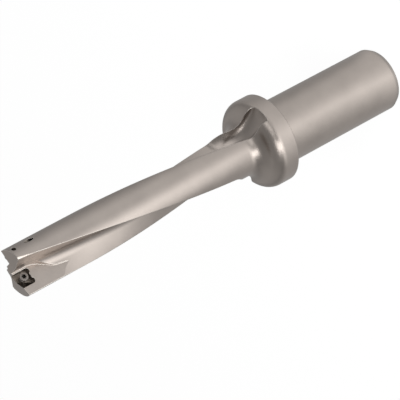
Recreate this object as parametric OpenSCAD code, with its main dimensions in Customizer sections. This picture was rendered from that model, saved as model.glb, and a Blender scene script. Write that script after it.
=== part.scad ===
// Indexable drill: a one-piece steel body with two helical chip flutes, and its two insert screws.
// The axis is Z: the shank stands on z = 0 and the cutting end points up.
// X runs along the cutting diameter: the outer seat lies on +X and the inner seat on -X.

/* [Shank] */
// Diameter of the cylindrical shank
shank_d = 25; // [20:0.5:30]
// Length of the shank, from its end to the back of the collar
shank_len = 56; // [45:1:70]
// Radial width of the chamfer at the shank's end
shank_chamfer = 1; // [0.5:0.1:1.5]
// Length of that chamfer along the shank
shank_chamfer_len = 1.8; // [1:0.1:3]
// Depth of the clamping flat
flat_depth = 2; // [1:0.1:2.5]
// Length of the clamping flat
flat_len = 20; // [14:1:22]
// Distance of the flat from the collar
flat_from_collar = 6; // [4:1:10]

/* [Collar] */
// Diameter of the collar
collar_d = 35; // [32:0.5:40]
// Length of the collar's cylindrical rim
collar_rim = 5.4; // [4:0.1:8]
// Radius of the rounded front edge of the collar
collar_round = 5; // [4.2:0.1:5.2]
// Radius of the hollow between the collar's round and the body
neck_radius = 6; // [5:0.1:8]
// Edge break at the back of the collar
collar_break = 0.4; // [0.2:0.1:0.8]

/* [Body] */
// Diameter of the fluted body
body_d = 18.4; // [17:0.1:19.5]
// Length from the back of the collar to the cutting end
reach = 117.7; // [100:0.1:130]
// Slope of the end faces behind the cutting edges, in degrees
end_relief = 8.5; // [4:0.5:10]
// Slope of the inner seat's end face from the axis to the outside, in degrees
inner_end_fall = 8.5; // [4:0.5:12]
// Depth of the bevel on the heel of each land, at the end
heel_bevel = 0.5; // [0.2:0.05:0.8]
// Length in which that bevel runs out along the lip
heel_bevel_len = 10; // [8:0.5:14]

/* [Flutes] */
// Length in which a flute makes one full turn
flute_lead = 375; // [320:5:450]
// Angle between the two lips of a flute at the body's surface
flute_opening = 89; // [80:1:96]
// Angle between the two walls of a flute
flute_wall_angle = 100; // [94:1:108]
// Radius of the flute's root
flute_root = 3.6; // [3:0.1:4]
// Turn of a flute's leading lip ahead of the rake face at the end
lip_lead = 16; // [10:1:22]
// Distance from the back of the collar to where a flute starts to run out
runout_start = 22; // [21:0.5:25]
// Distance from the back of the collar to the end of the run-out
runout_end = 6.4; // [4:0.1:6.6]
// Radius of the cutter's round nose, which is all that cuts at the end of the run-out
runout_nose = 4; // [3.2:0.1:4.2]
// Turn of the run-out's end from the flute's middle towards its leading wall, in degrees
runout_turn = 24; // [18:1:30]
// Angle between the walls at the end of the run-out
runout_wall_angle = 4; // [0:1:40]
// Share of the run-out's length in which the walls close to that angle
runout_closing = 0.6; // [0.5:0.05:0.9]

/* [Gullets] */
// How far the flat rake face in front of the inner seat reaches past the axis
inner_gullet_past = 0.5; // [0:0.05:0.6]
// Distance from the axis to the wall of the outer gullet
outer_gullet_wall = 2.8; // [2.4:0.1:3.4]
// Length of the gullet's straight wall, from the end
gullet_straight = 5.6; // [4:0.1:7]
// Radius of the curve in which the wall then turns outwards
gullet_turn = 9.5; // [8:0.5:12]
// Angle of that curve
gullet_turn_angle = 32; // [28:1:36]
// Length of the slanting wall that follows the curve
gullet_slant = 5.8; // [4:0.1:7]
// Length of the flat rake face, from the end
rake_len = 24; // [20:0.5:28]
// How far the wall still moves outwards to the end of the flat
rake_taper = 1.4; // [0.8:0.1:2]
// Height of the gullet's wall above the rake face
gullet_height = 6; // [4:0.1:8]

/* [Insert seats] */
// Width of the square insert that a seat takes
seat_w = 6; // [5.4:0.1:6.4]
// Depth of a seat below the rake face
seat_depth = 2.4; // [2:0.1:2.6]
// Length of the inner seat, along the axis
inner_seat_len = 5.8; // [5.2:0.1:6.4]
// Length of the outer seat, along the axis
outer_seat_len = 5.8; // [5.2:0.1:6.4]
// Distance from the axis to the inner seat's inner wall
inner_seat_from_axis = 0.1; // [0:0.05:0.4]
// How far the outer insert stands past the body
outer_stand = 0.3; // [0.1:0.05:0.5]
// Radius of the relief drilled in a seat's back corners
relief_radius = 1.1; // [0.8:0.05:1.3]
// How far the relief reaches past a seat's back wall
relief_past = 0.6; // [0.3:0.05:0.9]

/* [Screws] */
// Thread diameter of an insert screw
screw_d = 2.2; // [2:0.1:2.5]
// Length of an insert screw with its head
screw_len = 4.8; // [4.2:0.1:5]
// Head diameter
head_d = 3.2; // [3:0.1:3.6]
// Height of the head's cylindrical edge
head_edge = 0.35; // [0.2:0.05:0.5]
// Angle of the cone under the head
head_cone = 60; // [50:5:90]
// How far a head stands above the rake face while its seat is empty
head_proud = 0.2; // [0:0.05:0.4]
// Distance from the inner seat's middle to its screw, towards the seat's walls
inner_screw_pull = 0.6; // [0:0.05:0.7]
// Distance from the outer seat's middle to its screw, towards the seat's walls
outer_screw_pull = 0.1; // [0:0.05:0.3]
// Radial clearance between screw and hole
screw_clear = 0.05; // [0.03:0.01:0.1]
// Room left under a screw's end in its threaded hole
screw_end_clear = 0.2; // [0.1:0.05:0.4]
// Diameter of the pilot hole that goes on to the land behind the outer seat
pilot_d = 1.6; // [1.2:0.1:1.8]
// Width of the six-lobe recess across its lobes
recess_d = 1.75; // [1.5:0.05:1.9]
// Depth of the recess
recess_depth = 0.8; // [0.5:0.05:1]

/* [Coolant] */
// Diameter of the coolant inlet in the shank's end
inlet_d = 12; // [11.6:0.2:14]
// Depth of the coolant inlet
inlet_depth = 58; // [40:1:60]
// Diameter of the two coolant channels in the body
channel_d = 1.8; // [1.4:0.1:2]
// Distance of the channels from the axis
channel_from_axis = 5; // [4.6:0.1:5]
// Angle of a channel behind the rake face
channel_behind = 27; // [22:1:32]
// Distance from the end to where a channel turns out to the land
channel_stop = 16.5; // [14:0.5:20]
// Angle between the channel's outlet and the axis
outlet_slope = 28; // [24:1:40]

/* [Smoothness] */
// Steps along a flute
flute_steps = 42; // [24:1:70]
// Steps along a flute's run-out
runout_steps = 12; // [8:1:20]
// Steps round a flute's root
root_steps = 9; // [6:1:14]
// Steps up a flute's wall
wall_steps = 3; // [2:1:5]
// Steps along the curve of a gullet's wall
turn_steps = 8; // [5:1:16]
// Steps along a coolant channel
channel_steps = 18; // [12:1:30]
// Sides of a coolant channel
channel_sides = 8; // [6:1:12]

/* [Hidden] */
$fn = 96;
over = 1;
body_r = body_d / 2;
collar_z = shank_len;
tip_z = collar_z + reach;
// Step left where the neck's hollow runs into the body, so that the two surfaces don't just touch
neck_step = 0.02;
// Middles of the collar's round and of the hollow, which meet each other without an edge: [radius, height]
round_mid = [collar_d / 2 - collar_round, collar_z + collar_rim];
hollow_out = body_r + neck_step + neck_radius;
hollow_mid = [hollow_out,
    round_mid[1] + sqrt(pow(collar_round + neck_radius, 2) - pow(hollow_out - round_mid[0], 2))];
turn_per_mm = 360 / flute_lead;
half_open = flute_opening / 2;
half_wall = flute_wall_angle / 2;
// Place of the flute's section on its own middle line: the walls' corner, and the floor of the round root
wall_corner = body_r * (cos(half_open) - sin(half_open) / tan(half_wall));
root_floor = wall_corner + flute_root * (1 / sin(half_wall) - 1);
// The flute's walls go on past the body and the collar, so that the run-out clears them
wall_reach = collar_d;
// Distances from the root's round to the points on a wall: evenly past the lip, then out past the collar
wall_distances = concat([for (i = [1:wall_steps]) 0.75 * body_r * i / wall_steps], [body_d, wall_reach]);
wall_last = len(wall_distances) - 1;
runout_z = collar_z + runout_start;
runout_len = runout_start - runout_end;
thread_hole_d = screw_d + 2 * screw_clear;
// Depth of the threaded holes below the seat's floor
thread_depth = screw_len - head_proud - seat_depth + screw_end_clear;
outer_seat_wall = body_r + outer_stand - seat_w;
inner_screw_x = inner_seat_from_axis + seat_w / 2 - inner_screw_pull;
outer_screw_x = outer_seat_wall + seat_w / 2 - outer_screw_pull;
inner_screw_back = inner_seat_len - seat_w / 2 + inner_screw_pull;
outer_screw_back = outer_seat_len - seat_w / 2 + outer_screw_pull;

// How far a height lies down the run-out: 0 along the body, 1 at its end
function runout_share(z) = max(0, runout_z - z) / runout_len;

// Turn of a flute's middle line at a height, with the seat's rake face at 0
function flute_turn(z) = lip_lead + half_open + (z - tip_z) * turn_per_mm - runout_turn * closed_share(z);

// How far the cutter has lifted at a height: it leaves the flute along an arc
function lift(z) = runout_len * (1 - sqrt(max(0, 1 - pow(runout_share(z), 2))));

// How far the walls have closed at a height: 0 along the body, 1 where only the cutter's nose is left
function closed_share(z) = min(1, runout_share(z) / runout_closing);

// Point on a flute's wall at a distance from the root's round, on the leading (-1) or trailing (1) side
function wall_point(wall, root, distance, side) = [
    root_floor + root * (1 - sin(wall)) + distance * cos(wall),
    side * (root * cos(wall) + distance * sin(wall))];

// Section of a flute about its middle line: two straight walls and a round root, which close in the run-out
function flute_section(z) = let (
    share = closed_share(z),
    wall = half_wall + (runout_wall_angle / 2 - half_wall) * share,
    root = flute_root + (runout_nose - flute_root) * share)
    concat(
        [for (i = [wall_last:-1:0]) wall_point(wall, root, wall_distances[i], 1)],
        [for (i = [0:root_steps]) let (a = 90 + wall + (180 - 2 * wall) * i / root_steps)
            [root_floor + root * (1 + cos(a)), root * sin(a)]],
        [for (distance = wall_distances) wall_point(wall, root, distance, -1)]);

function turned(p, a) = [p[0] * cos(a) - p[1] * sin(a), p[0] * sin(a) + p[1] * cos(a)];

// Heights of the flute's sections: close together along the run-out's arc, then evenly up to the end
function flute_heights() = concat(
    [for (i = [0:runout_steps - 1]) runout_z - runout_len * cos(90 * i / runout_steps)],
    [for (i = [0:flute_steps]) runout_z + (tip_z + over - runout_z) * i / flute_steps]);

// Cutter's path for one flute, as one solid
module flute() {
    heights = flute_heights();
    n = len(flute_section(tip_z));
    last = len(heights) - 1;
    points = [for (z = heights) for (p = flute_section(z))
        let (q = turned(p + [lift(z), 0], flute_turn(z))) [q[0], q[1], z]];
    sides = [for (i = [0:last - 1]) for (j = [0:n - 1]) let (a = i * n + j, b = i * n + (j + 1) % n)
        each [[a, a + n, b + n], [a, b + n, b]]];
    ends = [[for (j = [0:n - 1]) j], [for (j = [n - 1:-1:0]) last * n + j]];
    polyhedron(points, concat(sides, ends), convexity = 6);
}

// Turned blank: shank, collar with rounded front that runs through a hollow into the body
module blank() {
    collar_r = collar_d / 2;
    shank_r = shank_d / 2;
    rotate_extrude() difference() {
        union() {
            polygon([[0, 0], [shank_r - shank_chamfer, 0], [shank_r, shank_chamfer_len],
                [shank_r, collar_z + over], [0, collar_z + over]]);
            polygon([[0, collar_z], [collar_r - collar_break, collar_z],
                [collar_r, collar_z + collar_break], [collar_r, round_mid[1]],
                round_mid, hollow_mid, [0, hollow_mid[1]]]);
            intersection() {
                translate(round_mid) circle(collar_round);
                translate(round_mid) square(collar_d);
            }
            translate([0, collar_z]) square([body_r, reach]);
        }
        translate(hollow_mid) circle(neck_radius);
    }
}

// Clamping flat on the side of the shank that faces away from the inner seat's rake face
module clamping_flat() {
    translate([-shank_d / 2, shank_d / 2 - flat_depth, collar_z - flat_from_collar - flat_len])
        cube([shank_d, flat_depth + over, flat_len]);
}

// One seat's place: rake face at y = 0 looking along +Y, end face at z = 0, distance from the axis along x
module at_seat(inner) {
    translate([0, 0, tip_z]) rotate(inner ? 180 : 0) children();
}

// Outline of the flat rake face, seen square to it: [distance from the axis, distance back from the end]
function rake_outline(wall) = let (
    turn = [for (i = [0:turn_steps]) let (a = gullet_turn_angle * i / turn_steps)
        [wall + gullet_turn * (1 - cos(a)), gullet_straight + gullet_turn * sin(a)]],
    slant = turn[turn_steps] + gullet_slant * [sin(gullet_turn_angle), cos(gullet_turn_angle)])
    concat([[body_d, -over], [wall, -over]], turn,
        [slant, [slant[0] + rake_taper, rake_len], [body_d, rake_len]]);

// Room in front of a seat: the flat rake face and the wall beside it
module gullet(wall) {
    rotate([-90, 0, 0]) linear_extrude(gullet_height) polygon(rake_outline(wall));
}

// Square pocket for an insert, with relieved back corners
module seat(wall, length, reach_out) {
    translate([wall, -seat_depth, -length]) cube([reach_out, seat_depth + over, length + over]);
    for (x = [wall + relief_radius, wall + seat_w - relief_radius])
        translate([x, over, relief_radius - relief_past - length]) rotate([90, 0, 0])
            cylinder(r = relief_radius, h = seat_depth + over, $fn = 32);
}

// Hole for an insert screw, square to the seat's floor
module screw_hole(x, back, d, depth) {
    translate([x, 0, -back]) rotate([90, 0, 0]) cylinder(d = d, h = seat_depth + depth, $fn = 48);
}

// Slope of an end face: it falls away behind the rake face, and from the axis to the outside
module end_slope(fall) {
    room = 2 * collar_d;
    rotate([end_relief, fall, 0]) translate([-room / 2, -room, 0]) cube([room, 2 * room, room]);
}

// The half of the body behind a seat's rake face
module behind_face() {
    room = 2 * collar_d;
    intersection() {
        translate([-room / 2, -room, -room]) cube([room, room, 2 * room]);
        children();
    }
}

// Bevel on the heel of a land: it leans evenly to land and flute wall, and runs out along the lip
module heel_bevel_cut() {
    corner = (90 + half_open - half_wall) / 2;
    lip_slope = body_r * turn_per_mm * PI / 180 * sin(corner);
    room = 8 * heel_bevel;
    rotate(180 + lip_lead + flute_opening) translate([body_r, 0, 0]) rotate(-corner)
        rotate([0, -atan(lip_slope + heel_bevel / heel_bevel_len), 0])
            translate([-heel_bevel, -room / 2, -1.5 * heel_bevel_len])
                cube([room, room, 2 * heel_bevel_len]);
}

// Coolant channel that turns with the body, from the inlet up, and its outlet on the land
module channel() {
    start = inlet_depth - over;
    stop = tip_z - channel_stop;
    rotate((start - tip_z) * turn_per_mm - channel_behind) translate([0, 0, start])
        linear_extrude(height = stop - start, twist = (start - stop) * turn_per_mm,
            slices = channel_steps, $fn = channel_sides)
            translate([channel_from_axis, 0]) circle(d = channel_d);
    rotate(-channel_stop * turn_per_mm - channel_behind) translate([channel_from_axis, 0, stop - over])
        rotate([0, outlet_slope, 0]) cylinder(d = channel_d, h = body_d, $fn = 32);
}

module drill_body() {
    color("#a59d94") difference() {
        blank();
        for (inner = [false, true]) {
            rotate(inner ? 180 : 0) flute();
            rotate(inner ? 180 : 0) channel();
        }
        at_seat(true) gullet(-inner_gullet_past);
        at_seat(false) gullet(outer_gullet_wall);
        at_seat(true) seat(inner_seat_from_axis, inner_seat_len, seat_w);
        at_seat(false) seat(outer_seat_wall, outer_seat_len, seat_w + over);
        at_seat(true) screw_hole(inner_screw_x, inner_screw_back, thread_hole_d, thread_depth);
        at_seat(false) screw_hole(outer_screw_x, outer_screw_back, thread_hole_d, thread_depth);
        at_seat(false) screw_hole(outer_screw_x, outer_screw_back, pilot_d, body_r);
        for (inner = [false, true]) at_seat(inner) heel_bevel_cut();
        at_seat(true) behind_face() end_slope(inner_end_fall);
        at_seat(false) behind_face() end_slope(0);
        clamping_flat();
        translate([0, 0, -over]) cylinder(d = inlet_d, h = inlet_depth + over);
    }
}

// Countersunk screw with a six-lobe recess: its axis is Z and its head's top lies at z = 0
module insert_screw() {
    cone_h = (head_d - screw_d) / 2 / tan(head_cone / 2);
    lobe_r = recess_d / 6;
    color("#3a3836") difference() {
        rotate_extrude($fn = 48) polygon([[0, 0], [head_d / 2, 0], [head_d / 2, -head_edge],
            [screw_d / 2, -head_edge - cone_h], [screw_d / 2, -screw_len], [0, -screw_len]]);
        translate([0, 0, -recess_depth]) {
            cylinder(d = recess_d - 2 * lobe_r, h = recess_depth + over, $fn = 32);
            for (i = [0:5]) rotate(60 * i) translate([recess_d / 2 - lobe_r, 0, 0])
                cylinder(r = lobe_r, h = recess_depth + over, $fn = 16);
        }
    }
}

module inner_insert_screw() {
    at_seat(true) translate([inner_screw_x, head_proud, -inner_screw_back])
        rotate([-90, 0, 0]) insert_screw();
}

module outer_insert_screw() {
    at_seat(false) translate([outer_screw_x, head_proud, -outer_screw_back])
        rotate([-90, 0, 0]) insert_screw();
}

drill_body();
inner_insert_screw();
outer_insert_screw();
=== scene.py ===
import math

import bmesh
import bpy
import numpy as np
from bpy.props import FloatProperty, FloatVectorProperty, PointerProperty
from mathutils import Matrix, Vector
from mathutils.bvhtree import BVHTree
from mathutils.interpolate import poly_3d_calc


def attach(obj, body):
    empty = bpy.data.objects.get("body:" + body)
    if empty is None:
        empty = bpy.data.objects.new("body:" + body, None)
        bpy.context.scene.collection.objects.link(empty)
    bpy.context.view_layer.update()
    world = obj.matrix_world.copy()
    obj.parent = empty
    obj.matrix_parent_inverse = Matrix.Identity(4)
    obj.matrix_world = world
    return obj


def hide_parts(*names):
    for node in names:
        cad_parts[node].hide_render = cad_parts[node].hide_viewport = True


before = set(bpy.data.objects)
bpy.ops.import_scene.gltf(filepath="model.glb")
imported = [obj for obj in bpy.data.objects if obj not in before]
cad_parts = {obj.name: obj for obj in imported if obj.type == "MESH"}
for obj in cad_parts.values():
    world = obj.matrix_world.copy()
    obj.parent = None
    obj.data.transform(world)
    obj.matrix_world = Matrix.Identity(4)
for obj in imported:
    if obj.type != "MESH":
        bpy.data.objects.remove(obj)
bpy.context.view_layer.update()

bl_info = {
    "name": "Indexable drill",
    "version": (1, 0, 0),
    "blender": (4, 5, 0),
    "location": "View3D > Sidebar > Drill",
    "description": "Builds a satin plated indexable drill with its insert screws, and a pale studio round it",
    "category": "Add Mesh",
}

MM = 0.001
BODY = "root"
# How far a cutter reaches past what it cuts, and an end face's cutter past its rake face
OVER = 1 * MM
END_OVER = 0.05 * MM
# Points that lie nearer to each other than this are one point
SAME_POINT = 0.0002 * MM
# Flat sides in one turn of the body's blank, of a drilled hole and of a lobe in a screw's recess
BLANK_SIDES, HOLE_SIDES, LOBE_SIDES = 192, 48, 24
# Steps along the collar's round, the neck's hollow, the body, a gullet's curve and a screw head's edge
ROUND_STEPS, HOLLOW_STEPS, BODY_STEPS, GULLET_STEPS, EDGE_STEPS = 20, 24, 40, 32, 6
# Edges that turn by more than this stay sharp, on the body and on the screws, in degrees
BODY_SHARP, SCREW_SHARP = 22, 35
# How near a corner has to lie to the surface whose normal it takes, on the body and on the screws
BODY_NEAR, SCREW_NEAR = 0.03 * MM, 0.01 * MM
# Share of the way to its face's middle from which a corner looks for that surface
INWARD = 0.04
# How well that surface's normal has to agree with the face, and how much of that the distance takes off
NORMAL_AGREES, DISTANCE_COST = 0.8, 0.1
# Rounding at both ends of a run-out's closing, as a share of its length: it leaves no crease in the flute
RUNOUT_EASE = 0.15
# Radius of a screw head's edge
HEAD_SOFT = 0.1 * MM
# Depth of a screw's thread as a share of its pitch, and width of its end as a share of the thread's
THREAD_DEPTH, SCREW_END = 0.6, 0.8
# Lobes in a screw's recess, and how many times a lobe's radius goes into the recess's width
LOBES, LOBE_PART = 6, 6


def mm(label, value, note):
    """A length that a user may change, given in millimetres and kept in metres."""
    return FloatProperty(name=label, description=note, default=value * MM, min=0, unit="LENGTH", precision=5)


def degrees(label, value, note):
    """An angle that a user may change, given in degrees."""
    return FloatProperty(name=label, description=note, default=math.radians(value), subtype="ANGLE")


def linear(code):
    """The linear colour of an sRGB hex value."""
    parts = [int(code[i:i + 2], 16) / 255 for i in (1, 3, 5)]
    return tuple(c / 12.92 if c <= 0.04045 else ((c + 0.055) / 1.055) ** 2.4 for c in parts)


def finish_colour(label, code, note):
    """A colour that a user may change, given as an sRGB hex value."""
    return FloatVectorProperty(name=label, description=note, default=linear(code), subtype="COLOR",
                               min=0, max=1)


class DrillSizes(bpy.types.PropertyGroup):
    """Sizes of the drill's body"""
    shank_d: mm("Shank", 25, "Diameter of the cylindrical shank")
    shank_len: mm("Shank length", 56, "Length from the shank's end to the back of the collar")
    shank_chamfer: mm("Shank chamfer", 1, "Radial width of the chamfer at the shank's end")
    shank_chamfer_len: mm("Shank chamfer length", 1.8, "Length of that chamfer along the shank")
    flat_depth: mm("Flat depth", 2, "Depth of the clamping flat")
    flat_len: mm("Flat length", 20, "Length of the clamping flat")
    flat_from_collar: mm("Flat from collar", 6, "Distance of the flat from the collar")
    collar_d: mm("Collar", 35, "Diameter of the collar")
    collar_rim: mm("Collar rim", 5.4, "Length of the collar's cylindrical rim")
    collar_round: mm("Collar round", 5, "Radius of the rounded front edge of the collar")
    collar_break: mm("Collar break", 0.4, "Edge break at the back of the collar")
    neck_radius: mm("Neck hollow", 6, "Radius of the hollow between collar and body")
    body_d: mm("Body", 18.4, "Diameter of the fluted body")
    reach: mm("Reach", 117.7, "Length from the back of the collar to the cutting end")
    end_relief: degrees("End relief", 8.5, "Slope of the end faces behind the cutting edges")
    inner_end_fall: degrees("Inner end fall", 8.5, "Slope of the inner seat's end face to the outside")
    heel_bevel: mm("Heel bevel", 0.5, "Depth of the bevel on the heel of each land")
    heel_bevel_len: mm("Heel bevel length", 10, "Length in which that bevel runs out along the lip")
    flute_lead: mm("Flute lead", 375, "Length in which a flute makes one full turn")
    flute_opening: degrees("Flute opening", 89, "Angle between the two lips of a flute")
    flute_wall_angle: degrees("Flute walls", 100, "Angle between the two walls of a flute")
    flute_root: mm("Flute root", 3.6, "Radius of the flute's root")
    lip_lead: degrees("Lip lead", 16, "Turn of the leading lip ahead of the rake face")
    runout_start: mm("Run-out start", 22, "Distance from the collar's back to the start of the run-out")
    runout_end: mm("Run-out end", 6.4, "Distance from the collar's back to the end of the run-out")
    runout_nose: mm("Run-out nose", 4, "Radius of the cutter's round nose")
    runout_turn: degrees("Run-out turn", 24, "Turn of the run-out's end towards the leading wall")
    runout_wall_angle: degrees("Run-out walls", 4, "Angle between the walls at the end of the run-out")
    runout_closing: FloatProperty(name="Run-out closing", default=0.6, min=0.1, max=1,
                                  description="Share of the run-out in which the walls close")
    inlet_d: mm("Coolant inlet", 12, "Diameter of the coolant inlet in the shank's end")
    inlet_depth: mm("Inlet depth", 58, "Depth of the coolant inlet")
    channel_d: mm("Coolant channel", 1.8, "Diameter of the coolant channels")
    channel_from_axis: mm("Channel from axis", 5, "Distance of the channels from the axis")
    channel_behind: degrees("Channel behind", 27, "Angle of a channel behind the rake face")
    channel_stop: mm("Channel stop", 16.5, "Distance from the end to where a channel turns out to the land")
    outlet_slope: degrees("Outlet slope", 28, "Angle between the channel's outlet and the axis")


class SeatSizes(bpy.types.PropertyGroup):
    """Sizes of the gullets, insert seats and screws"""
    inner_gullet_past: mm("Inner gullet", 0.5, "How far the inner rake face reaches past the axis")
    outer_gullet_wall: mm("Outer gullet", 2.8, "Distance from the axis to the wall of the outer gullet")
    gullet_straight: mm("Gullet straight", 5.6, "Length of the gullet's straight wall")
    gullet_turn: mm("Gullet turn", 9.5, "Radius of the curve in which the wall turns outwards")
    gullet_turn_angle: degrees("Gullet turn angle", 32, "Angle of that curve")
    gullet_slant: mm("Gullet slant", 5.8, "Length of the slanting wall that follows the curve")
    rake_len: mm("Rake length", 24, "Length of the flat rake face")
    rake_taper: mm("Rake taper", 1.4, "How far the wall still moves outwards to the end of the flat")
    gullet_height: mm("Gullet height", 6, "Height of the gullet's wall above the rake face")
    seat_w: mm("Seat width", 6, "Width of the square insert that a seat takes")
    seat_depth: mm("Seat depth", 2.4, "Depth of a seat below the rake face")
    seat_len: mm("Seat length", 5.8, "Length of a seat along the axis")
    inner_seat_from_axis: mm("Inner seat", 0.1, "Distance from the axis to the inner seat's wall")
    outer_stand: mm("Outer stand", 0.3, "How far the outer insert stands past the body")
    relief_radius: mm("Corner relief", 1.1, "Radius of the relief in a seat's back corners")
    relief_past: mm("Relief reach", 0.6, "How far the relief reaches past a seat's back wall")
    screw_d: mm("Screw", 2.2, "Thread diameter of an insert screw")
    screw_len: mm("Screw length", 4.8, "Length of an insert screw with its head")
    screw_pitch: mm("Screw pitch", 0.45, "Pitch of the screw's thread")
    head_d: mm("Screw head", 3.2, "Head diameter")
    head_edge: mm("Head edge", 0.35, "Height of the head's cylindrical edge")
    head_cone: degrees("Head cone", 60, "Angle of the cone under the head")
    head_proud: mm("Head stand", 0.2, "How far a head stands above the rake face")
    inner_screw_pull: mm("Inner pull", 0.6, "Distance of the inner screw from its seat's middle")
    outer_screw_pull: mm("Outer pull", 0.1, "Distance of the outer screw from its seat's middle")
    screw_clear: mm("Screw clearance", 0.05, "Radial clearance between screw and hole")
    screw_end_clear: mm("Screw end room", 0.2, "Room left under a screw's end")
    pilot_d: mm("Pilot hole", 1.6, "Diameter of the pilot hole that goes on to the land")
    recess_d: mm("Recess", 1.75, "Width of the six-lobe recess across its lobes")
    recess_depth: mm("Recess depth", 0.8, "Depth of the recess")


class DrillFinishes(bpy.types.PropertyGroup):
    """Colours and surface of the drill's metals"""
    nickel: finish_colour("Nickel plate", "#b5aca5", "Satin nickel plate on the body")
    nickel_worn: finish_colour("Worn edge", "#e2dcd5", "Plate rubbed bright along the edges")
    oxide: finish_colour("Black oxide", "#8c8681", "Black oxide on the screws, rubbed a little bright")
    # The recess colour is painted shade: it darkens the screws' recesses as if they lay in shadow
    recess: finish_colour("Shaded recess", "#2b2826", "Oil and dust in the screws' recesses")
    # The bare steel colour is darker than the plate: bare steel with painted shade for the seats and bores
    bare: finish_colour("Bare steel", "#8a827a", "Shaded bare steel in the seats and bores")
    nickel_rough: FloatProperty(name="Plate roughness", default=0.33, min=0, max=1, subtype="FACTOR",
                                description="Roughness of the satin plate")
    bare_rough: FloatProperty(name="Bare roughness", default=0.4, min=0, max=1, subtype="FACTOR",
                              description="Roughness of the bare steel")
    oxide_rough: FloatProperty(name="Oxide roughness", default=0.4, min=0, max=1, subtype="FACTOR",
                               description="Roughness of the black oxide")


class StudioSettings(bpy.types.PropertyGroup):
    """Floor, light and camera"""
    floor: finish_colour("Floor", "#f4f4f4", "Pale floor under the drill")
    high_power: FloatProperty(name="High light", default=8.0, min=0, unit="POWER",
                              description="Power of the softbox high in front of the drill")
    low_power: FloatProperty(name="Low light", default=2.3, min=0, unit="POWER",
                             description="Power of the softbox low beside the drill")
    side_power: FloatProperty(name="Side light", default=1.35, min=0, unit="POWER",
                              description="Power of the softbox that lights the ends of the flutes")
    pool: FloatProperty(name="Floor light", default=0.95, min=0,
                        description="Strength of the floor's light as the metal shows it")
    surround: FloatProperty(name="Surround", default=1.0, min=0, description="Strength of the light tent")
    lens: FloatProperty(name="Lens", default=198, min=20, unit="CAMERA",
                        description="Focal length in millimetres")


def mesh_object(name, points, faces, material=None):
    """A new mesh object in the row frame, with its faces looking outwards."""
    mesh = bpy.data.meshes.new(name)
    mesh.from_pydata([tuple(p) for p in points], [], faces)
    shape = bmesh.new()
    shape.from_mesh(mesh)
    bmesh.ops.recalc_face_normals(shape, faces=shape.faces)
    shape.to_mesh(mesh)
    shape.free()
    made = bpy.data.objects.new(name, mesh)
    bpy.context.scene.collection.objects.link(made)
    if material:
        mesh.materials.append(material)
    return made


def revolved(name, profile, steps, material=None):
    """A solid turned about Z from [radius, height] points; the first and the last point lie on the axis."""
    points, rings, faces = [], [], []
    angles = [2 * math.pi * i / steps for i in range(steps)]
    for radius, height in profile:
        if radius < SAME_POINT:
            rings.append([len(points)])
            points.append((0, 0, height))
        else:
            rings.append(list(range(len(points), len(points) + steps)))
            points += [(radius * math.cos(a), radius * math.sin(a), height) for a in angles]
    for low, high in zip(rings, rings[1:]):
        for i in range(steps):
            j = (i + 1) % steps
            corners = [low[i % len(low)], low[j % len(low)], high[j % len(high)], high[i % len(high)]]
            faces.append(list(dict.fromkeys(corners)))
    return mesh_object(name, points, faces, material)


def lofted(name, rings, material=None):
    """A closed solid through rings of equal length, with flat ends."""
    count = len(rings[0])
    points = [p for ring in rings for p in ring]
    last = len(points) - count
    faces = [(i + j, i + (j + 1) % count, i + count + (j + 1) % count, i + count + j)
             for i in range(0, last, count) for j in range(count)]
    faces += [list(range(count)), list(range(last, len(points)))]
    return mesh_object(name, points, faces, material)


def arc(middle, radius, start, stop, steps):
    """Points on an arc in a plane, angles in degrees."""
    angles = np.radians(np.linspace(start, stop, steps + 1))
    return [(middle[0] + radius * math.cos(a), middle[1] + radius * math.sin(a)) for a in angles]


def line(start, stop, steps):
    """Points along a straight line, without the first one."""
    start, way = np.array(start), np.array(stop) - np.array(start)
    return [tuple(start + way * i / steps) for i in range(1, steps + 1)]


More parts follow.
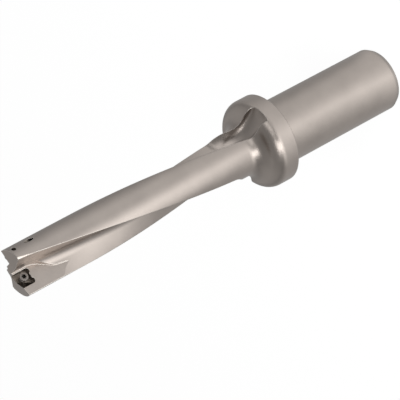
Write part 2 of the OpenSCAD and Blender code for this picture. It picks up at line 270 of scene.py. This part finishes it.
class Solid:
    """A body that is cut from a blank, and keeps the smooth normals of every surface that cut it."""

    def __init__(self, blank, sharp_angle=BODY_SHARP):
        self.made = blank
        self.sharp_angle = math.radians(sharp_angle)
        self.points, self.faces, self.normals = [], [], []
        self.remember(blank, 1)

    def remember(self, source, side):
        """Keeps the faces and normals of a surface; the side is -1 for one that cuts."""
        mesh = source.data
        mesh.shade_smooth()
        mesh.set_sharp_from_angle(angle=self.sharp_angle)
        start = len(self.points)
        self.points += [source.matrix_world @ v.co for v in mesh.vertices]
        corner = [side * n.vector for n in mesh.corner_normals]
        for face in mesh.polygons:
            self.faces.append([start + v for v in face.vertices])
            self.normals.append([corner[i] for i in face.loop_indices])

    def cut(self, *cutters):
        """Takes each cutter away from the body, and then removes it."""
        for cutter in cutters:
            bpy.context.view_layer.update()
            self.remember(cutter, -1)
            step = self.made.modifiers.new("cut", "BOOLEAN")
            step.operation = "DIFFERENCE"
            step.solver = "MANIFOLD"
            step.material_mode = "TRANSFER"
            step.object = cutter
            graph = bpy.context.evaluated_depsgraph_get()
            result = bpy.data.meshes.new_from_object(self.made.evaluated_get(graph), depsgraph=graph)
            if not result.polygons:
                raise RuntimeError(f"the cut with {cutter.name} leaves nothing of {self.made.name}")
            self.made.modifiers.clear()
            self.made.data = result
            bpy.data.objects.remove(cutter)

    def smooth(self, near=BODY_NEAR):
        """Clears faces without area, then gives each corner the normal of the surface that it lies on."""
        mesh = self.made.data
        shape = bmesh.new()
        shape.from_mesh(mesh)
        bmesh.ops.dissolve_degenerate(shape, dist=SAME_POINT, edges=shape.edges)
        shape.to_mesh(mesh)
        shape.free()
        tree = BVHTree.FromPolygons(self.points, self.faces)
        wanted = [None] * len(mesh.loops)
        for face in mesh.polygons:
            flat = face.normal.copy()
            for loop in face.loop_indices:
                spot = mesh.vertices[mesh.loops[loop].vertex_index].co.lerp(face.center, INWARD)
                best, wanted[loop] = NORMAL_AGREES, flat
                for place, _, index, distance in tree.find_nearest_range(spot, near):
                    corners = [self.points[v] for v in self.faces[index]]
                    shares = poly_3d_calc(corners, place)
                    normal = sum((n * s for n, s in zip(self.normals[index], shares)), Vector()).normalized()
                    score = normal.dot(flat) - distance / near * DISTANCE_COST
                    if score > best:
                        best, wanted[loop] = score, normal
        mesh.shade_smooth()
        mesh.normals_split_custom_set(wanted)


def eased(x, width):
    """A ramp that rises from 0 at x = 0 to 1 at x = 1, with both its ends rounded."""
    low, high = (max(0, t) if abs(t) > width else (t + width) ** 2 / (4 * width) for t in (x, x - 1))
    return low - high


def flute_rings(s, runout_steps=48, flute_steps=150, root_steps=26, wall_steps=9, wall_share=0.75):
    """Rings of one flute's cutter: two straight walls and a round root that close and lift in the run-out.
    The walls are divided up to a share of the body's radius, and then go on in two long steps."""
    body_r, tip = s.body_d / 2, s.shank_len + s.reach
    half_open, half_wall = s.flute_opening / 2, s.flute_wall_angle / 2
    corner = body_r * (math.cos(half_open) - math.sin(half_open) / math.tan(half_wall))
    floor = corner + s.flute_root * (1 / math.sin(half_wall) - 1)
    runout_z, runout_len = s.shank_len + s.runout_start, s.runout_start - s.runout_end
    distances = [wall_share * body_r * i / wall_steps for i in range(1, wall_steps + 1)]
    distances += [s.body_d, s.collar_d]
    heights = [runout_z - runout_len * math.cos(math.pi / 2 * i / runout_steps) for i in range(runout_steps)]
    heights += [runout_z + (tip + OVER - runout_z) * i / flute_steps for i in range(flute_steps + 1)]
    rings = []
    for z in heights:
        down = max(0, runout_z - z) / runout_len
        lift = runout_len * (1 - math.sqrt(max(0, 1 - down ** 2)))
        share = eased((runout_z - z) / runout_len / s.runout_closing, RUNOUT_EASE)
        wall = half_wall + (s.runout_wall_angle / 2 - half_wall) * share
        root = s.flute_root + (s.runout_nose - s.flute_root) * share
        side = [(floor + root * (1 - math.sin(wall)) + d * math.cos(wall),
                 root * math.cos(wall) + d * math.sin(wall)) for d in distances]
        nose = [(floor + root * (1 + math.cos(a)), root * math.sin(a))
                for a in np.linspace(math.pi / 2 + wall, math.pi * 3 / 2 - wall, root_steps + 1)]
        section = side[::-1] + nose + [(x, -y) for x, y in side]
        turn = s.lip_lead + half_open + (z - tip) * 2 * math.pi / s.flute_lead - s.runout_turn * share
        rings.append([((x + lift) * math.cos(turn) - y * math.sin(turn),
                       (x + lift) * math.sin(turn) + y * math.cos(turn), z) for x, y in section])
    return rings


def channel_rings(s, sides=16, steps=60):
    """Rings of a coolant channel that turns with the flutes."""
    tip, radius = s.shank_len + s.reach, s.channel_d / 2
    rings = []
    for z in np.linspace(s.inlet_depth - OVER, tip - s.channel_stop, steps + 1):
        turn = (z - tip) * 2 * math.pi / s.flute_lead - s.channel_behind
        middle = (s.channel_from_axis * math.cos(turn), s.channel_from_axis * math.sin(turn))
        rings.append([(middle[0] + radius * math.cos(a), middle[1] + radius * math.sin(a), z)
                      for a in np.arange(sides) * 2 * math.pi / sides])
    return rings


def blank_profile(s):
    """The turned blank's outline, from the bore's floor round the shank to the cutting end."""
    shank_r, collar_r, body_r = s.shank_d / 2, s.collar_d / 2, s.body_d / 2
    collar, tip = s.shank_len, s.shank_len + s.reach
    middle = (collar_r - s.collar_round, collar + s.collar_rim)
    both = s.collar_round + s.neck_radius
    hollow_out = body_r + s.neck_radius
    hollow = (hollow_out, middle[1] + math.sqrt(both ** 2 - (hollow_out - middle[0]) ** 2))
    meet = math.degrees(math.atan2(hollow[1] - middle[1], hollow[0] - middle[0]))
    points = [(0, s.inlet_depth), (s.inlet_d / 2, s.inlet_depth), (s.inlet_d / 2, 0)]
    points += [(shank_r - s.shank_chamfer, 0), (shank_r, s.shank_chamfer_len), (shank_r, collar)]
    points += [(collar_r - s.collar_break, collar), (collar_r, collar + s.collar_break)]
    points += arc(middle, s.collar_round, 0, meet, ROUND_STEPS)
    points += arc(hollow, s.neck_radius, meet + 180, 180, HOLLOW_STEPS)[1:]
    points += line((body_r, hollow[1]), (body_r, tip), BODY_STEPS)
    return points + [(0, tip)]


def at_seat(made, inner, tip):
    """Moves a cutter or a screw from a seat's own place to the inner or the outer seat."""
    made.data.transform(Matrix.Translation((0, 0, tip)) @ Matrix.Rotation(math.pi if inner else 0, 4, "Z"))
    return made


def box(name, low, high, material):
    """A box between two corners."""
    rings = [[(low[0], low[1], z), (high[0], low[1], z), (high[0], high[1], z), (low[0], high[1], z)]
             for z in (low[2], high[2])]
    return lofted(name, rings, material)


def drilled(name, radius, low, high, material, sides=HOLE_SIDES):
    """A cylinder from one point to another."""
    start, way = Vector(low), Vector(high) - Vector(low)
    made = revolved(name, [(0, 0), (radius, 0), (radius, way.length), (0, way.length)], sides, material)
    made.data.transform(Matrix.Translation(start) @ way.to_track_quat("Z", "Y").to_matrix().to_4x4())
    return made


def gullet(s, g, wall, material):
    """Cutter of the room in front of a seat: the flat rake face and the curved wall beside it."""
    turn = [(wall + g.gullet_turn * (1 - math.cos(a)), g.gullet_straight + g.gullet_turn * math.sin(a))
            for a in np.linspace(0, g.gullet_turn_angle, GULLET_STEPS + 1)]
    slant = (turn[-1][0] + g.gullet_slant * math.sin(g.gullet_turn_angle),
             turn[-1][1] + g.gullet_slant * math.cos(g.gullet_turn_angle))
    outline = [(s.body_d, -OVER), (wall, -OVER)] + turn
    outline += [slant, (slant[0] + g.rake_taper, g.rake_len), (s.body_d, g.rake_len)]
    return lofted("gullet", [[(x, y, -back) for x, back in outline] for y in (0, g.gullet_height)], material)


def seat(g, wall, reach_out, material):
    """Cutters of one insert seat: the pocket and its relieved back corners."""
    made = [box("seat", (wall, -g.seat_depth, -g.seat_len), (wall + reach_out, OVER, OVER), material)]
    for x in (wall + g.relief_radius, wall + g.seat_w - g.relief_radius):
        z = g.relief_radius - g.relief_past - g.seat_len
        made.append(drilled("relief", g.relief_radius, (x, -g.seat_depth, z), (x, OVER, z), material))
    return made


def end_slope(s, fall, material):
    """Cutter of one sloping end face, which lies behind its seat's rake face."""
    room = s.collar_d
    made = box("end", (-room, -2 * room, 0), (room, END_OVER, 2 * room), material)
    shape = bmesh.new()
    shape.from_mesh(made.data)
    for v in shape.verts:
        if v.co.z < room:
            v.co.z = v.co.y * math.tan(s.end_relief) / math.cos(fall) - v.co.x * math.tan(fall)
    shape.to_mesh(made.data)
    shape.free()
    return made


def heel_bevel_cut(s, material):
    """Cutter of the bevel on a land's heel, which runs out along the lip."""
    corner = (math.pi / 2 + s.flute_opening / 2 - s.flute_wall_angle / 2) / 2
    lip_slope = s.body_d * math.pi / s.flute_lead * math.sin(corner)
    tilt = math.atan(lip_slope + s.heel_bevel / s.heel_bevel_len)
    # The cutter is much wider than the bevel, and longer than it by half at both ends
    room, half = 4 * s.heel_bevel, s.heel_bevel_len / 2
    made = box("heel", (-s.heel_bevel, -room, -3 * half), (2 * room, room, half), material)
    made.data.transform(Matrix.Rotation(math.pi + s.lip_lead + s.flute_opening, 4, "Z")
                        @ Matrix.Translation((s.body_d / 2, 0, 0)) @ Matrix.Rotation(-corner, 4, "Z")
                        @ Matrix.Rotation(-tilt, 4, "Y"))
    return made


def outer_seat_wall(s, g):
    """Distance from the axis to the wall of the outer seat."""
    return s.body_d / 2 + g.outer_stand - g.seat_w


def screw_places(s, g):
    """[distance from the axis, distance back from the end] of the inner and the outer screw."""
    outer_wall = outer_seat_wall(s, g)
    back = g.seat_len - g.seat_w / 2
    return ((g.inner_seat_from_axis + g.seat_w / 2 - g.inner_screw_pull, back + g.inner_screw_pull),
            (outer_wall + g.seat_w / 2 - g.outer_screw_pull, back + g.outer_screw_pull))


def add(tree, kind, settings=(), **links):
    """Adds a node, sets its properties, inputs or colour stops, and links its inputs to sockets. A link is
    called by the input's name with _ for a space, or by _ and the input's number."""
    made = tree.nodes.new(kind)
    for name, value in dict(settings).items():
        if name == "stops":
            while len(made.color_ramp.elements) < len(value):
                made.color_ramp.elements.new(1.0)
            for stop, (where, level) in zip(made.color_ramp.elements, value):
                stop.position, stop.color = where, (level, level, level, 1)
        elif isinstance(name, str) and hasattr(made, name):
            setattr(made, name, value)
        else:
            made.inputs[name].default_value = value
    for name, socket in links.items():
        tree.links.new(socket, made.inputs[int(name[1:]) if name[1:].isdigit() else name.replace("_", " ")])
    return made


def new_material(name):
    """An empty node material with its output."""
    made = bpy.data.materials.new(name)
    made.use_nodes = True
    made.node_tree.nodes.clear()
    return made, made.node_tree, made.node_tree.nodes.new("ShaderNodeOutputMaterial")


# Sizes in the finishes: clouds and grit of the plate, tooth of the dark steel, and how far edges are rubbed
CLOUD, GRIT, TOOTH = 9 * MM, 0.35 * MM, 0.25 * MM
PLATE_EDGE, DARK_EDGE = 0.4 * MM, 0.06 * MM
# Pitch of the marks of lathe and mill, drawn coarser than the real ones so that they show
TURNED_PITCH, MILLED_PITCH = 0.35 * MM, 0.5 * MM
# Depth of the marks and of the tooth, and the share of the grit in the plate's relief
MARK_DEPTH, TOOTH_DEPTH, GRIT_SHARE = 0.004 * MM, 0.01 * MM, 0.25
# Length of one wave of the wave texture at scale 1
WAVE_LENGTH = 2 * math.pi / 20
# How far roughness goes below and above its mean
PLATE_SPREAD, DARK_SPREAD = (-0.04, 0.05), (-0.05, 0.08)
# Cosine of the angle by which an edge turns the rounded normal: where rubbing starts, and where it is full
RUBBED = (0.995, 0.86)


def satin_nickel(name, finishes, mark_axis, mark_pitch):
    """Satin nickel plate over cut steel: a warm grey metal, soft in its reflections, with the fine marks of
    the cut along one direction, faint cloudiness from the bath and edges rubbed a little brighter."""
    made, tree, output = new_material(name)
    place = add(tree, "ShaderNodeTexCoord").outputs["Object"]
    cloud = add(tree, "ShaderNodeTexNoise", {"Scale": 1 / CLOUD, "Detail": 4, "Roughness": 0.55},
                Vector=place)
    grit = add(tree, "ShaderNodeTexNoise", {"Scale": 1 / GRIT, "Detail": 2}, Vector=place)
    marks = add(tree, "ShaderNodeTexWave",
                {"wave_type": "BANDS", "bands_direction": mark_axis, "Scale": WAVE_LENGTH / mark_pitch,
                 "Distortion": 1.5, "Detail": 2, "Detail Scale": 1.0}, Vector=place)
    soft_edge = add(tree, "ShaderNodeBevel", {"samples": 8, "Radius": PLATE_EDGE})
    geometry = add(tree, "ShaderNodeNewGeometry")
    turned = add(tree, "ShaderNodeVectorMath", {"operation": "DOT_PRODUCT"},
                 _0=soft_edge.outputs["Normal"], _1=geometry.outputs["Normal"])
    edge = add(tree, "ShaderNodeMapRange",
               {"From Min": RUBBED[0], "From Max": RUBBED[1], "To Min": 0.0, "To Max": 1.0},
               Value=turned.outputs["Value"])
    shade = add(tree, "ShaderNodeMapRange",
                {"From Min": 0.3, "From Max": 0.7, "To Min": 0.93, "To Max": 1.05},
                Value=cloud.outputs["Fac"])
    plate = add(tree, "ShaderNodeMix",
                {"data_type": "RGBA", 6: (*finishes.nickel, 1), 7: (*finishes.nickel_worn, 1)},
                _0=edge.outputs["Result"])
    tint = add(tree, "ShaderNodeVectorMath", {"operation": "SCALE"},
               _0=plate.outputs[2], Scale=shade.outputs["Result"])
    low, high = (finishes.nickel_rough + spread for spread in PLATE_SPREAD)
    rough = add(tree, "ShaderNodeMapRange",
                {"From Min": 0.25, "From Max": 0.75, "To Min": low, "To Max": high},
                Value=cloud.outputs["Fac"])
    height = add(tree, "ShaderNodeMath", {"operation": "MULTIPLY_ADD", 1: GRIT_SHARE},
                 _0=grit.outputs["Fac"], _2=marks.outputs["Fac"])
    bump = add(tree, "ShaderNodeBump", {"Strength": 0.35, "Distance": MARK_DEPTH},
               Height=height.outputs["Value"], Normal=soft_edge.outputs["Normal"])
    metal = add(tree, "ShaderNodeBsdfPrincipled", {"Metallic": 1.0}, Base_Color=tint.outputs["Vector"],
                Roughness=rough.outputs["Result"], Normal=bump.outputs["Normal"])
    tree.links.new(metal.outputs["BSDF"], output.inputs["Surface"])
    return made


def dark_steel(name, colour, roughness):
    """Dark steel with a fine tooth, which shines softly and a little unevenly."""
    made, tree, output = new_material(name)
    place = add(tree, "ShaderNodeTexCoord").outputs["Object"]
    tooth = add(tree, "ShaderNodeTexNoise", {"Scale": 1 / TOOTH, "Detail": 3}, Vector=place)
    shade = add(tree, "ShaderNodeMapRange",
                {"From Min": 0.3, "From Max": 0.7, "To Min": 0.8, "To Max": 1.2},
                Value=tooth.outputs["Fac"])
    tint = add(tree, "ShaderNodeVectorMath", {"operation": "SCALE", 0: colour}, Scale=shade.outputs["Result"])
    low, high = (roughness + spread for spread in DARK_SPREAD)
    rough = add(tree, "ShaderNodeMapRange",
                {"From Min": 0.3, "From Max": 0.7, "To Min": low, "To Max": high},
                Value=tooth.outputs["Fac"])
    soft_edge = add(tree, "ShaderNodeBevel", {"samples": 6, "Radius": DARK_EDGE})
    bump = add(tree, "ShaderNodeBump", {"Strength": 0.2, "Distance": TOOTH_DEPTH},
               Height=tooth.outputs["Fac"], Normal=soft_edge.outputs["Normal"])
    metal = add(tree, "ShaderNodeBsdfPrincipled", {"Metallic": 1.0}, Base_Color=tint.outputs["Vector"],
                Roughness=rough.outputs["Result"], Normal=bump.outputs["Normal"])
    tree.links.new(metal.outputs["BSDF"], output.inputs["Surface"])
    return made


class DRILL_OT_body(bpy.types.Operator):
    """Build the plated body: shank, collar, helical flutes with run-outs, rake faces and insert seats"""
    bl_idname = "drill.body"
    bl_label = "Drill body"

    def execute(self, context):
        s, g, finishes = context.scene.drill_sizes, context.scene.seat_sizes, context.scene.drill_finishes
        tip = s.shank_len + s.reach
        # Plate on turned steel has fine rings round the axis, which soften a reflection along the drill
        turned = satin_nickel("satin_nickel_on_turned_steel", finishes, "Z", TURNED_PITCH)
        # Plate on milled steel has slanting marks of the cutter, so flutes and flats shine another way
        milled = satin_nickel("satin_nickel_on_milled_steel", finishes, "DIAGONAL", MILLED_PITCH)
        # Seats and bores are cut after plating: bare steel, in a darker tone that paints the shade in them,
        # which sets them off from the plate
        bare = dark_steel("bare_steel_with_painted_shade", finishes.bare, finishes.bare_rough)
        solid = Solid(revolved("drill", blank_profile(s), BLANK_SIDES, turned))
        half_turn = Matrix.Rotation(math.pi, 4, "Z")
        for inner in (False, True):
            flute = lofted("flute", flute_rings(s), milled)
            channel = lofted("channel", channel_rings(s), bare)
            turn = -s.channel_stop * 2 * math.pi / s.flute_lead - s.channel_behind
            start = Vector((s.channel_from_axis, 0, tip - s.channel_stop - OVER))
            way = Vector((math.sin(s.outlet_slope), 0, math.cos(s.outlet_slope))) * s.body_d
            outlet = drilled("outlet", s.channel_d / 2, start, start + way, bare)
            outlet.data.transform(Matrix.Rotation(turn, 4, "Z"))
            for cutter in (flute, channel, outlet):
                if inner:
                    cutter.data.transform(half_turn)
                solid.cut(cutter)
        outer_wall = outer_seat_wall(s, g)
        depth = g.screw_len - g.head_proud + g.screw_end_clear
        hole = g.screw_d / 2 + g.screw_clear
        (inner_x, inner_back), (outer_x, outer_back) = screw_places(s, g)
        inner_cuts = [gullet(s, g, -g.inner_gullet_past, milled),
                      *seat(g, g.inner_seat_from_axis, g.seat_w, bare),
                      drilled("hole", hole, (inner_x, 0, -inner_back), (inner_x, -depth, -inner_back), bare),
                      heel_bevel_cut(s, milled), end_slope(s, s.inner_end_fall, milled)]
        outer_cuts = [gullet(s, g, g.outer_gullet_wall, milled),
                      *seat(g, outer_wall, g.seat_w + OVER, bare),
                      drilled("hole", hole, (outer_x, 0, -outer_back), (outer_x, -depth, -outer_back), bare),
                      drilled("pilot", g.pilot_d / 2, (outer_x, 0, -outer_back),
                              (outer_x, -s.body_d, -outer_back), bare),
                      heel_bevel_cut(s, milled), end_slope(s, 0, milled)]
        for inner, cuts in ((True, inner_cuts), (False, outer_cuts)):
            for cutter in cuts:
                solid.cut(at_seat(cutter, inner, tip))
        low = s.shank_len - s.flat_from_collar - s.flat_len
        solid.cut(box("flat", (-s.shank_d, s.shank_d / 2 - s.flat_depth, low),
                      (s.shank_d, s.shank_d, low + s.flat_len), milled))
        solid.smooth()
        body = solid.made
        body.name = "plated_body"
        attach(body, BODY)
        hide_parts("drill_body")
        return {"FINISHED"}


def screw_shape(g, sides=72, thread_steps=60):
    """A countersunk screw on Z with its head's top at 0: rounded head edge, cone and a cut thread."""
    head_r, thread_r = g.head_d / 2, g.screw_d / 2
    cone = (g.head_d - g.screw_d) / 2 / math.tan(g.head_cone / 2)
    start, end = -g.head_edge - cone, -g.screw_len
    profile = [(0, 0)] + arc((head_r - HEAD_SOFT, -HEAD_SOFT), HEAD_SOFT, 90, 0, EDGE_STEPS)
    profile += [(head_r, -g.head_edge), (thread_r, start)]
    profile += [(thread_r, start + (end - start) * i / thread_steps) for i in range(1, thread_steps)]
    profile += [(thread_r * SCREW_END, end), (0, end)]
    made = revolved("screw", profile, sides)
    depth = THREAD_DEPTH * g.screw_pitch
    for v in made.data.vertices:
        radius = math.hypot(v.co.x, v.co.y)
        if abs(radius - thread_r) < SAME_POINT and v.co.z < start - SAME_POINT:
            phase = (v.co.z / g.screw_pitch - math.atan2(v.co.y, v.co.x) / (2 * math.pi)) % 1
            fade = min(1, (start - v.co.z) / g.screw_pitch)
            scale = 1 - fade * depth * abs(2 * phase - 1) / thread_r
            v.co.x *= scale
            v.co.y *= scale
    return made


class DRILL_OT_screws(bpy.types.Operator):
    """Build the two insert screws with their six-lobe recesses and threads"""
    bl_idname = "drill.screws"
    bl_label = "Insert screws"

    def execute(self, context):
        s, g = context.scene.drill_sizes, context.scene.seat_sizes
        finishes = context.scene.drill_finishes
        # Black oxide on a hardened screw: a thin dark skin that still shines like steel
        oxide = dark_steel("black_oxide_steel", finishes.oxide, finishes.oxide_rough)
        # Painted shade in the recess: nearly black, so that the six lobes stand out from the head
        recess_shade = dark_steel("black_oxide_steel_with_painted_shade", finishes.recess, finishes.oxide_rough)
        lobe = g.recess_d / LOBE_PART
        reach = g.recess_d / 2 - lobe
        for inner, (x, back) in zip((True, False), screw_places(s, g)):
            shape = screw_shape(g)
            shape.data.materials.append(oxide)
            solid = Solid(shape, SCREW_SHARP)
            low, high = -g.recess_depth, OVER
            cutters = [drilled("recess", reach, (0, 0, low), (0, 0, high), recess_shade)]
            for i in range(LOBES):
                angle = math.radians(360 / LOBES * i)
                spot = (reach * math.cos(angle), reach * math.sin(angle))
                cutters.append(drilled("lobe", lobe, (*spot, low), (*spot, high), recess_shade, LOBE_SIDES))
            solid.cut(*cutters)
            solid.smooth(SCREW_NEAR)
            screw = solid.made
            facing = Matrix.Rotation(-math.pi / 2, 4, "X")
            screw.data.transform(Matrix.Translation((x, g.head_proud, -back)) @ facing)
            at_seat(screw, inner, s.shank_len + s.reach)
            name = "inner_insert_screw" if inner else "outer_insert_screw"
            screw.name = name.replace("insert", "seat")
            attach(screw, BODY)
            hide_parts(name)
        return {"FINISHED"}


# Camera in the row frame: its right, up and back axes, its place in metres, and its sensor in millimetres
CAMERA_AXES = ((-0.5520, -0.3191, -0.7703), (0.8158, -0.3975, -0.4200), (-0.1722, -0.8603, 0.4798))
CAMERA_PLACE = (-0.1462033, -0.6878324, 0.4787516)
SENSOR = 36
# The floor's light as metal sees it, near the drill and far from it: [degrees round the drill, level]
NEAR_POOL = ((-180, 0.58), (-110, 0.58), (-70, 0.6), (-45, 0.82), (-20, 1.2), (0, 1.6), (20, 1.2), (40, 0.95),
             (75, 0.86), (105, 0.55), (140, 0.48), (180, 0.58))
FAR_POOL = ((-180, 0.4), (-120, 0.42), (-80, 0.48), (-62, 0.85), (-48, 1.5), (-38, 1.9), (-24, 2.1),
            (-9, 2.3), (8, 1.5), (22, 1.0), (34, 0.86), (52, 1.0), (70, 0.98), (95, 0.7), (125, 0.45),
            (180, 0.4))
POOL_PEAK = max(level for _, level in NEAR_POOL + FAR_POOL)
# Direction from the drill to the middle of both pools
POOL_TURN = math.radians(-111)
# Distances from the axis between which the near pool gives way to the far one
POOL_CHANGE = (170 * MM, 260 * MM)
# Share of the light left where the shank meets the floor, and the distances between which it comes back
CONTACT_SHARE = 0.62
CONTACT = (12.6 * MM, 16 * MM)
# Share of plain white in the floor as it is seen; the rest is the paper, which keeps the shadow
PLAIN_WHITE = 0.96
# Half the floor's width in metres
FLOOR_HALF = 3.0
# The light tent is dim at the horizon and brightest half way up: [sine of the height, level]
TENT_HEIGHTS = ((0.0, 0.2), (0.16, 0.3), (0.4, 0.36), (0.75, 0.36), (1.0, 0.3))
# Direction of the tent's brighter side, and the shares of its light on the dark and on the bright side
TENT_BRIGHT = (math.cos(math.radians(70)), math.sin(math.radians(70)), 0)
TENT_SHARES = (0.55, 1.45)
# The point that the softboxes look at, in metres
LIT_POINT = (0, 0, 0.09)
# Place and [width, length] of the high softbox in metres
HIGH_PLACE, HIGH_SIZE = (-0.12, -0.45, 0.75), (0.25, 0.25)
# [Degrees round the drill, distance from the axis, height] and [width, length] of the two other softboxes
LOW_PLACE, LOW_SIZE = (-135, 0.8, 0.28), (0.32, 0.7)
SIDE_PLACE, SIDE_SIZE = (-78, 0.85, 0.42), (0.85, 0.5)


def softbox(name, place, size, power):
    """A rectangular area light that looks at the drill and isn't seen itself."""
    data = bpy.data.lights.new(name, "AREA")
    data.shape, data.size, data.size_y, data.energy = "RECTANGLE", *size, power
    made = bpy.data.objects.new(name, data)
    made.location = place
    made.rotation_mode = "QUATERNION"
    made.rotation_quaternion = (Vector(place) - Vector(LIT_POINT)).to_track_quat("Z", "Y")
    made.visible_camera = False
    bpy.context.scene.collection.objects.link(made)
    return made


def white_paper(studio):
    """Matt white paper: an even white without shine, which keeps the drill's soft shadow. The metal shows it
    as pools of light, which give the plate its bright and dark bands."""
    made, tree, output = new_material("matt_white_paper")
    rays = add(tree, "ShaderNodeLightPath")
    seen = add(tree, "ShaderNodeMath", {"operation": "MAXIMUM"}, _0=rays.outputs["Is Camera Ray"],
               _1=rays.outputs["Is Transmission Ray"])
    share = add(tree, "ShaderNodeMath", {"operation": "MULTIPLY", 1: PLAIN_WHITE}, _0=seen.outputs["Value"])
    spot = add(tree, "ShaderNodeTexCoord").outputs["Object"]
    facing = add(tree, "ShaderNodeVectorRotate", {"rotation_type": "Z_AXIS", "Angle": -POOL_TURN},
                 Vector=spot)
    round_drill = add(tree, "ShaderNodeTexGradient", {"gradient_type": "RADIAL"},
                      Vector=facing.outputs["Vector"])
    near, far = (add(tree, "ShaderNodeValToRGB",
                     {"stops": [(0.5 + turn / 360, level / POOL_PEAK) for turn, level in pool]},
                     Fac=round_drill.outputs["Fac"]) for pool in (NEAR_POOL, FAR_POOL))
    distance = add(tree, "ShaderNodeVectorMath", {"operation": "LENGTH"}, _0=spot)
    change = add(tree, "ShaderNodeMapRange", {"From Min": POOL_CHANGE[0], "From Max": POOL_CHANGE[1]},
                 Value=distance.outputs["Value"])
    pool = add(tree, "ShaderNodeMix", {"data_type": "RGBA"}, _0=change.outputs["Result"],
               _6=near.outputs["Color"], _7=far.outputs["Color"])
    full = POOL_PEAK * studio.pool
    strength = add(tree, "ShaderNodeMapRange", {"From Min": CONTACT[0], "From Max": CONTACT[1],
                                                "To Min": CONTACT_SHARE * full, "To Max": full},
                   Value=distance.outputs["Value"])
    matt = add(tree, "ShaderNodeBsdfDiffuse", {"Color": (*studio.floor, 1)})
    white = add(tree, "ShaderNodeEmission", {"Color": (1, 1, 1, 1), "Strength": 1.0})
    lit = add(tree, "ShaderNodeEmission", {}, Color=pool.outputs[2], Strength=strength.outputs["Result"])
    shown = add(tree, "ShaderNodeMixShader", {}, _0=share.outputs["Value"], _1=matt.outputs["BSDF"],
                _2=white.outputs["Emission"])
    mixed = add(tree, "ShaderNodeMixShader", {}, _0=rays.outputs["Is Glossy Ray"],
                _1=shown.outputs["Shader"], _2=lit.outputs["Emission"])
    tree.links.new(mixed.outputs["Shader"], output.inputs["Surface"])
    return made


def light_tent(studio):
    """White cloth round the drill: plain white where it is seen, and to the metal a soft uneven light."""
    made = bpy.data.worlds.new("light_tent")
    made.use_nodes = True
    tree = made.node_tree
    tree.nodes.clear()
    output = tree.nodes.new("ShaderNodeOutputWorld")
    rays = add(tree, "ShaderNodeLightPath")
    place = add(tree, "ShaderNodeTexCoord").outputs["Generated"]
    way = add(tree, "ShaderNodeSeparateXYZ", {}, Vector=place)
    height = add(tree, "ShaderNodeValToRGB", {"stops": TENT_HEIGHTS}, Fac=way.outputs["Z"])
    side = add(tree, "ShaderNodeVectorMath", {"operation": "DOT_PRODUCT", 1: TENT_BRIGHT}, _0=place)
    dark, bright = (share * studio.surround for share in TENT_SHARES)
    strength = add(tree, "ShaderNodeMapRange", {"From Min": -1.0, "To Min": dark, "To Max": bright},
                   Value=side.outputs["Value"])
    tent = add(tree, "ShaderNodeBackground", {}, Color=height.outputs["Color"],
               Strength=strength.outputs["Result"])
    white = add(tree, "ShaderNodeBackground", {"Color": (1, 1, 1, 1), "Strength": 1.0})
    seen = add(tree, "ShaderNodeMath", {"operation": "MAXIMUM"}, _0=rays.outputs["Is Camera Ray"],
               _1=rays.outputs["Is Transmission Ray"])
    mixed = add(tree, "ShaderNodeMixShader", {}, _0=seen.outputs["Value"], _1=tent.outputs["Background"],
                _2=white.outputs["Background"])
    tree.links.new(mixed.outputs["Shader"], output.inputs["Surface"])
    return made


class DRILL_OT_stage(bpy.types.Operator):
    """Build the pale floor, the soft studio light and the camera"""
    bl_idname = "drill.stage"
    bl_label = "Studio"

    def execute(self, context):
        studio, scene = context.scene.drill_studio, context.scene
        half = FLOOR_HALF
        corners = [(-half, -half, 0), (half, -half, 0), (half, half, 0), (-half, half, 0)]
        floor = mesh_object("floor", corners, [(0, 1, 2, 3)], white_paper(studio))
        scene.world = light_tent(studio)
        # The high light is for the floor and the shadow on it; the plate shows the two others as soft patches
        high = softbox("high_softbox", HIGH_PLACE, HIGH_SIZE, studio.high_power)
        high.visible_glossy = False
        for name, (turn, distance, height), size, power in (
                ("low_softbox", LOW_PLACE, LOW_SIZE, studio.low_power),
                ("side_softbox", SIDE_PLACE, SIDE_SIZE, studio.side_power)):
            turn = math.radians(turn)
            softbox(name, (distance * math.cos(turn), distance * math.sin(turn), height), size, power)
        data = bpy.data.cameras.new("camera")
        data.sensor_width, data.sensor_height, data.lens = SENSOR, SENSOR, studio.lens
        camera = bpy.data.objects.new("camera", data)
        axes = Matrix(CAMERA_AXES).transposed().to_4x4()
        camera.matrix_world = Matrix.Translation(CAMERA_PLACE) @ axes
        scene.collection.objects.link(camera)
        scene.camera = camera
        scene.view_settings.view_transform = "Standard"
        return {"FINISHED"}


class DRILL_PT_panel(bpy.types.Panel):
    """Lists the drill's pieces, sizes and finishes"""
    bl_idname = "DRILL_PT_panel"
    bl_label = "Indexable drill"
    bl_space_type = "VIEW_3D"
    bl_region_type = "UI"
    bl_category = "Drill"

    def draw(self, context):
        layout = self.layout
        for operator in (DRILL_OT_stage, DRILL_OT_body, DRILL_OT_screws):
            layout.operator(operator.bl_idname)
        for group in GROUPS:
            values = getattr(context.scene, group)
            for name in values.__annotations__:
                layout.prop(values, name)


GROUPS = {"drill_sizes": DrillSizes, "seat_sizes": SeatSizes, "drill_finishes": DrillFinishes,
          "drill_studio": StudioSettings}
CLASSES = (*GROUPS.values(), DRILL_OT_stage, DRILL_OT_body, DRILL_OT_screws, DRILL_PT_panel)


def register():
    for made in CLASSES:
        bpy.utils.register_class(made)
    for name, group in GROUPS.items():
        setattr(bpy.types.Scene, name, PointerProperty(type=group))


def unregister():
    for name in GROUPS:
        delattr(bpy.types.Scene, name)
    for made in reversed(CLASSES):
        bpy.utils.unregister_class(made)


def main():
    register()
    bpy.ops.drill.stage()
    bpy.ops.drill.body()
    bpy.ops.drill.screws()
    bpy.context.view_layer.update()


if __name__ == "__main__":
    main()
